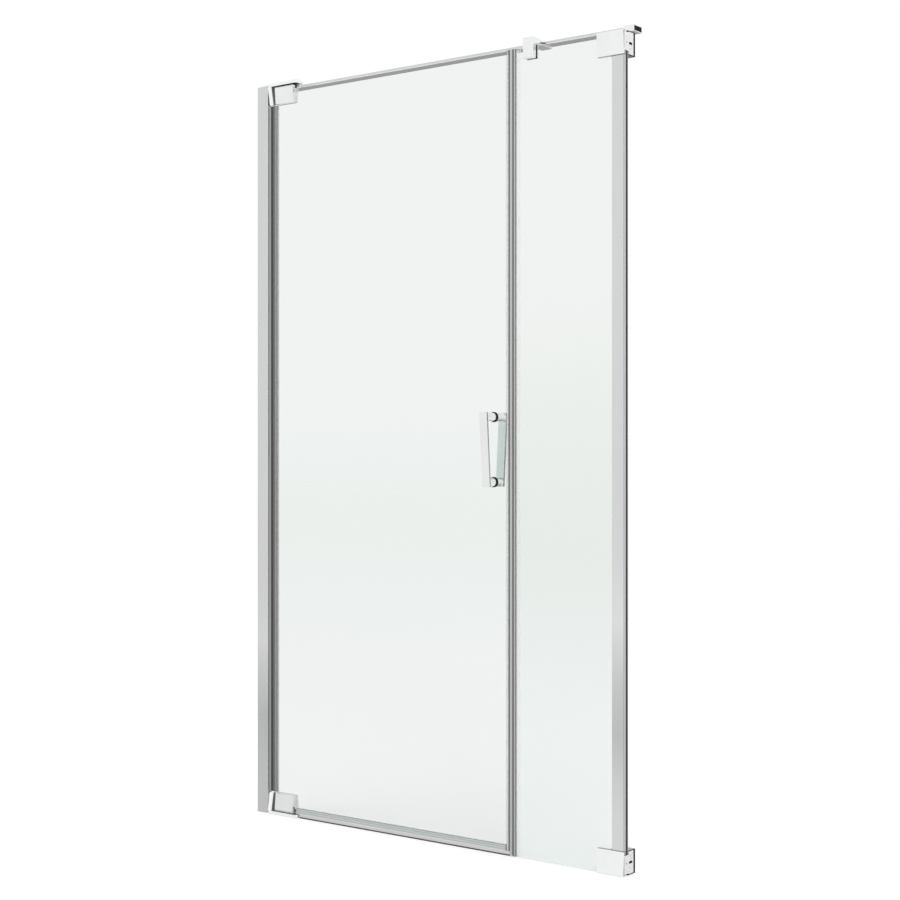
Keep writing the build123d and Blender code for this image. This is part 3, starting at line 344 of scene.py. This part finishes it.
def cap_plastic():
    """Caps of the hinge plates, with painted light beside the plates and painted shade towards the arm:
    black on the upper caps, grey on the lower ones.
    """
    tree = Surface("hinge_cap")
    fine = tree.noise(700, 5)
    upper = tree.math("GREATER_THAN", tree.place("Z"), HINGE_MIDDLE)
    step = tree.math("MULTIPLY", upper, LOWER_CAP_BRIGHT - UPPER_CAP_BRIGHT)
    bright_end = tree.math("SUBTRACT", LOWER_CAP_BRIGHT, step)
    near_plate = tree.math("LESS_THAN", tree.from_middle(HINGE_MIDDLE), bright_end)
    # painted shade: black on the upper caps and grey on the lower ones, where the gap under the arm is in
    # shade
    upper_painted_shadow = tree.blend(fine, grey(0.010), grey(0.018))
    lower_painted_shade = tree.blend(fine, grey(0.20), grey(0.26))
    outer = tree.mix(upper, lower_painted_shade, upper_painted_shadow)
    tree.set("Base Color", tree.mix(near_plate, outer, (0.55, 0.56, 0.56)))
    tree.set("Roughness", tree.remap(fine, 0.35, 0.45))
    tree.set("Specular IOR Level", 0.2)
    tree.relief(fine, strength=0.1, depth=0.0001, edge=0.0003)
    return tree.material


def aluminium(name, axis, reflection_bands=None):
    """Bright anodised aluminium with fine drawing lines, and a painted reflection by height as (metres,
    level).
    """
    tree = Surface(name)
    lines = tree.drawn_lines(axis, across=1500.0, along=6.0)
    cloud = tree.noise(9, 2)
    colour = tree.blend(lines, (0.62, 0.625, 0.63), (0.67, 0.675, 0.68))
    # painted reflection: lighter and darker bands of the surroundings put into the base colour by height
    if reflection_bands:
        colour = tree.multiply(colour, tree.bands(tree.place("Z"), [(z, grey(tone)) for z, tone in reflection_bands]))
    tree.set("Metallic", 1.0)
    tree.set("Base Color", colour)
    tree.set("Roughness", tree.remap(cloud, 0.22, 0.30))
    tree.relief(lines, strength=0.08, depth=0.00004, edge=0.0005)
    return tree.material


def glass(name, tints_and_shade):
    """Clear toughened glass: green body tint with painted light and shade by height, deeper green on the
    narrow edges.
    """
    tree = Surface(name)
    flat = tree.math("ABSOLUTE", tree.components("Normal")["Y"])
    colour = tree.mix(flat, GLASS_EDGE, tree.bands(tree.place("Z"), tints_and_shade))
    tree.set("Base Color", colour)
    tree.set("Roughness", 0.0)
    tree.set("IOR", GLASS_INDEX)
    tree.set("Transmission Weight", 1.0)
    # A pane lets the light of the lamps through, so that its shadow on the floor stays pale
    path = tree.add("ShaderNodeLightPath")
    clear = tree.add("ShaderNodeBsdfTransparent")
    tree.link(colour, clear.inputs["Color"])
    pick = tree.add("ShaderNodeMixShader")
    tree.link(path.outputs["Is Shadow Ray"], pick.inputs[0])
    tree.link(tree.shader.outputs[0], pick.inputs[1])
    tree.link(clear.outputs[0], pick.inputs[2])
    tree.link(pick.outputs[0], tree.output.inputs["Surface"])
    return tree.material


def plastic(name, dark, light, roughness, specular=0.5):
    """Moulded or extruded plastic and rubber with a fine surface grain."""
    tree = Surface(name)
    fine = tree.noise(700, 5)
    broad = tree.noise(35, 2)
    tree.set("Base Color", tree.blend(broad, dark, light))
    tree.set("Roughness", tree.remap(fine, roughness - 0.06, roughness + 0.06))
    tree.set("Specular IOR Level", specular)
    tree.relief(fine, strength=0.15, depth=0.0001, edge=0.0003)
    return tree.material


def seal_lines(tree, axis):
    """Drawing lines along a seal, with their relief."""
    lines = tree.drawn_lines(axis, across=900.0, along=12.0)
    tree.relief(lines, strength=0.1, depth=0.0001, edge=0.0003)
    return lines


def vinyl(name, axis, dark, light):
    """Seal plastic of one tone, drawn out along its length."""
    tree = Surface(name)
    lines = seal_lines(tree, axis)
    tree.set("Base Color", tree.blend(lines, dark, light))
    tree.set("Roughness", tree.remap(lines, 0.16, 0.26))
    return tree.material


def seal_colour(level):
    """Colour of a seal band: a plain level gets the faint green of the pane behind it."""
    return level if isinstance(level, tuple) else (level, level * 1.015, level * 1.005)


def banded_vinyl(name, across, axis, bands):
    """Seal plastic whose clear legs, web and box differ in tone and opacity across the section, with painted
    shade in its gaps and grooves.
    """
    tree = Surface(name)
    lines = seal_lines(tree, axis)
    place = tree.place(across)
    tone = tree.bands(place, [(at, seal_colour(level)) for at, level, opacity in bands])
    tree.set("Base Color", tree.multiply(tone, tree.blend(lines, grey(0.93), grey(1.0))))
    if min(opacity for at, level, opacity in bands) < 1.0:
        tree.set("Alpha", tree.bands(place, [(at, grey(opacity)) for at, level, opacity in bands]))
    tree.set("Roughness", tree.remap(lines, 0.20, 0.32))
    return tree.material


def glowing_clear_pad():
    """Clear pads between the hinge plates and the glass, with a faint glow as painted light."""
    tree = Surface("glowing_clear_pad")
    cloud = tree.noise(60, 3)
    colour = tree.blend(cloud, (0.77, 0.80, 0.785), (0.83, 0.86, 0.845))
    tree.set("Base Color", colour)
    # painted light: the pads glow though they are no lamp
    tree.set("Emission Color", colour)
    tree.set("Emission Strength", 0.28)
    tree.set("Roughness", tree.remap(cloud, 0.25, 0.35))
    return tree.material


def steel():
    """Satin stainless steel of the screws."""
    tree = Surface("stainless_steel")
    fine = tree.noise(1200, 4)
    tree.set("Metallic", 1.0)
    tree.set("Base Color", tree.blend(fine, (0.50, 0.50, 0.49), (0.60, 0.60, 0.59)))
    tree.set("Roughness", tree.remap(fine, 0.22, 0.34))
    tree.relief(fine, strength=0.08, depth=0.00005, edge=0.0003)
    return tree.material


def floor_white():
    """Pale floor that the camera, metal and glass see as white, and that keeps its shadow."""
    tree = Surface("floor")
    tree.nodes.remove(tree.shader)
    diffuse = tree.add("ShaderNodeBsdfDiffuse")
    shade = tuple(0.99 * channel for channel in FLOOR_COLOUR)
    tree.link(tree.blend(tree.noise(40, 2), shade, FLOOR_COLOUR), diffuse.inputs["Color"])
    path = tree.add("ShaderNodeLightPath").outputs
    seen = tree.math("MAXIMUM", path["Is Camera Ray"], path["Is Glossy Ray"])
    seen = tree.math("MAXIMUM", seen, path["Is Transmission Ray"])
    glow = tree.add("ShaderNodeEmission")
    tree.link(tree.math("MULTIPLY", seen, FLOOR_GLOW), glow.inputs["Strength"])
    total = tree.add("ShaderNodeAddShader")
    tree.link(diffuse.outputs[0], total.inputs[0])
    tree.link(glow.outputs[0], total.inputs[1])
    tree.link(total.outputs[0], tree.output.inputs["Surface"])
    return tree.material


def make_camera():
    """Camera at the photograph's viewing angle, level, at half the height of the door."""
    data = bpy.data.cameras.new("camera")
    data.lens = CAMERA_LENS
    data.sensor_width = CAMERA_SENSOR
    data.sensor_fit = "HORIZONTAL"
    data.clip_end = CAMERA_REACH
    camera = bpy.data.objects.new("camera", data)
    camera.location = CAMERA_PLACE
    camera.rotation_euler = (math.radians(90), 0, math.radians(CAMERA_TURN))
    bpy.context.scene.collection.objects.link(camera)
    bpy.context.scene.camera = camera


def make_world():
    """White surroundings for the camera, and a studio with soft darker bands for gloss."""
    world = bpy.data.worlds.new("world")
    bpy.context.scene.world = world
    world.use_nodes = True
    tree = Tree(world.node_tree)
    direction = tree.components("Generated")
    height = tree.math("MULTIPLY_ADD", direction["Z"], 0.5, 0.5)
    front, rear = (tree.ramp(height, [(0.5 + sine / 2, grey(level)) for sine, level in studio])
                   for studio in (STUDIO_FRONT, STUDIO_REAR))
    behind = tree.math("SUBTRACT", direction["Y"], tree.math("MAXIMUM", direction["X"], 0.0))
    gloss = tree.mix(tree.remap(behind, 0.0, 1.0, REAR_START, REAR_FULL), front, rear)
    path = tree.add("ShaderNodeLightPath").outputs
    seen = tree.math("MAXIMUM", path["Is Camera Ray"], path["Is Transmission Ray"])
    plain = tree.mix(seen, grey(WORLD_LEVEL), grey(1.0))
    # A ray refracted by a pane counts as glossy too, and it has to see the white surroundings
    mirrored = tree.math("SUBTRACT", path["Is Glossy Ray"], path["Is Transmission Ray"])
    final = tree.mix(tree.math("MAXIMUM", mirrored, 0.0), plain, gloss)
    tree.link(final, tree.nodes["Background"].inputs["Color"])


def make_floor():
    """Wide pale floor under the tray line of the door."""
    mesh = bpy.data.meshes.new("floor")
    half = FLOOR_HALF_WIDTH
    mesh.from_pydata([(-half, -half, 0), (half, -half, 0), (half, half, 0), (-half, half, 0)], [],
                     [(0, 1, 2, 3)])
    floor = bpy.data.objects.new("floor", mesh)
    floor.location = FLOOR_PLACE
    floor.data.materials.append(floor_white())
    floor.visible_glossy = False
    bpy.context.scene.collection.objects.link(floor)


def area_lamp(name, place, power):
    """Large soft lamp aimed at the middle of the door."""
    data = bpy.data.lights.new(name, "AREA")
    data.shape = "RECTANGLE"
    data.size = data.size_y = LAMP_SIZE
    data.energy = power
    lamp = bpy.data.objects.new(name, data)
    lamp.location = place
    aim = Vector(LAMP_AIM) - Vector(place)
    lamp.rotation_euler = aim.to_track_quat("-Z", "Y").to_euler()
    lamp.visible_glossy = False
    lamp.visible_transmission = False
    bpy.context.scene.collection.objects.link(lamp)


def paint(material, *names):
    """One material on every slot of the named CAD nodes."""
    for name in names:
        mesh = nodes[name].data
        mesh.materials.clear()
        mesh.materials.append(material)


bpy.context.scene.view_settings.view_transform = "Standard"
make_camera()
make_world()
make_floor()
area_lamp("key", KEY_PLACE, KEY_POWER)
area_lamp("fill", FILL_PLACE, FILL_POWER)

# Material of each slot of the record
materials = {
    "chrome": chrome("chrome"),
    "clear_vinyl": vinyl("clear_vinyl", ALONG_Z, (0.38, 0.39, 0.38), (0.50, 0.51, 0.50)),
    "black_rubber": plastic("black_rubber", grey(0.010), grey(0.018), 0.55),
    "grey_gasket": plastic("grey_gasket", (0.05, 0.052, 0.052), (0.08, 0.082, 0.082), 0.5),
    "magnet_rubber": plastic("magnet_rubber", grey(0.10), grey(0.14), 0.5),
    "white_nylon": plastic("white_nylon", (0.70, 0.70, 0.68), (0.78, 0.78, 0.76), 0.4),
    "black_plastic": plastic("black_plastic", grey(0.008), grey(0.014), 0.6, specular=0.15),
    "stainless_steel": steel(),
    "bright_aluminium": aluminium("bright_aluminium", ALONG_Z),
}
for part in frame["record"]["subparts"]:
    if part["material_slot"] in materials:
        paint(materials[part["material_slot"]], part["node"])

# Nodes with a material of their own, many of them with painted reflection, painted light or painted shade
paint(aluminium("bar_aluminium", ALONG_X), "stabiliser_bar")
paint(aluminium("hinge_profile_aluminium", ALONG_Z, HINGE_SIDE_PAINTED_REFLECTION), "hinge_profile")
paint(aluminium("glass_profile_aluminium", ALONG_Z, STRIKE_SIDE_PAINTED_REFLECTION), "glass_profile")
paint(glass("door_pane", DOOR_TINT_AND_SHADE), "door_glass")
paint(glass("fixed_pane", FIXED_TINT_AND_SHADE), "fixed_glass")
paint(banded_vinyl("hinge_lip", "X", ALONG_Z, HINGE_LIP_BANDS), "hinge_side_lip")
paint(banded_vinyl("hinge_seal", "X", ALONG_Z, HINGE_SEAL_BANDS), "hinge_side_seal")
paint(banded_vinyl("door_closing_seal", "X", ALONG_Z, DOOR_SEAL_BANDS), "door_magnetic_seal")
paint(banded_vinyl("fixed_closing_seal", "X", ALONG_Z, FIXED_SEAL_BANDS), "fixed_magnetic_seal")
paint(banded_vinyl("drip_seal", "Z", ALONG_X, DRIP_SEAL_BANDS), "drip_seal")
# painted light and shade: the chrome level of each part is set lighter or darker to match how light falls on
# it
paint(chrome("top_plate_chrome", 0.958), "top_hinge_front_plate", "top_hinge_rear_plate")
paint(chrome("bottom_plate_chrome", 0.885), "bottom_hinge_front_plate", "bottom_hinge_rear_plate")
paint(chrome("casting_chrome", 1.05, foot_shade), "top_hinge_casting", "bottom_hinge_casting")
paint(chrome("cover_chrome", 1.0, rim_shade), "top_bracket_front_cover")
paint(chrome("low_cover_chrome", 1.08, rim_shade), "bottom_bracket_front_cover")
paint(chrome("rear_cover_chrome", 1.0, hollow_shade), "top_bracket_rear_cover", "bottom_bracket_rear_cover")
paint(chrome("cast_chrome", speckled=True), "top_bracket_body", "bottom_bracket_body")
paint(cap_plastic(), "hinge_caps")
# painted shade: the dark liners stand in for the shade in the gaps between the hinge legs, the profile and
# the plates
paint(plastic("liner", grey(0.15), grey(0.18), 0.5), "hinge_leg_liners")
# painted dark reflection on the side faces of the bars; the rear bar is darker and greener as painted shade
# and the tint of light through the pane
paint(chrome("front_bar_chrome", 0.98, handle_shade(0.45)), "handle_front_bar")
paint(chrome("rear_bar_chrome", 0.88, handle_shade(0.65), green=1.05), "handle_rear_bar")
paint(glowing_clear_pad(), "hinge_pads")
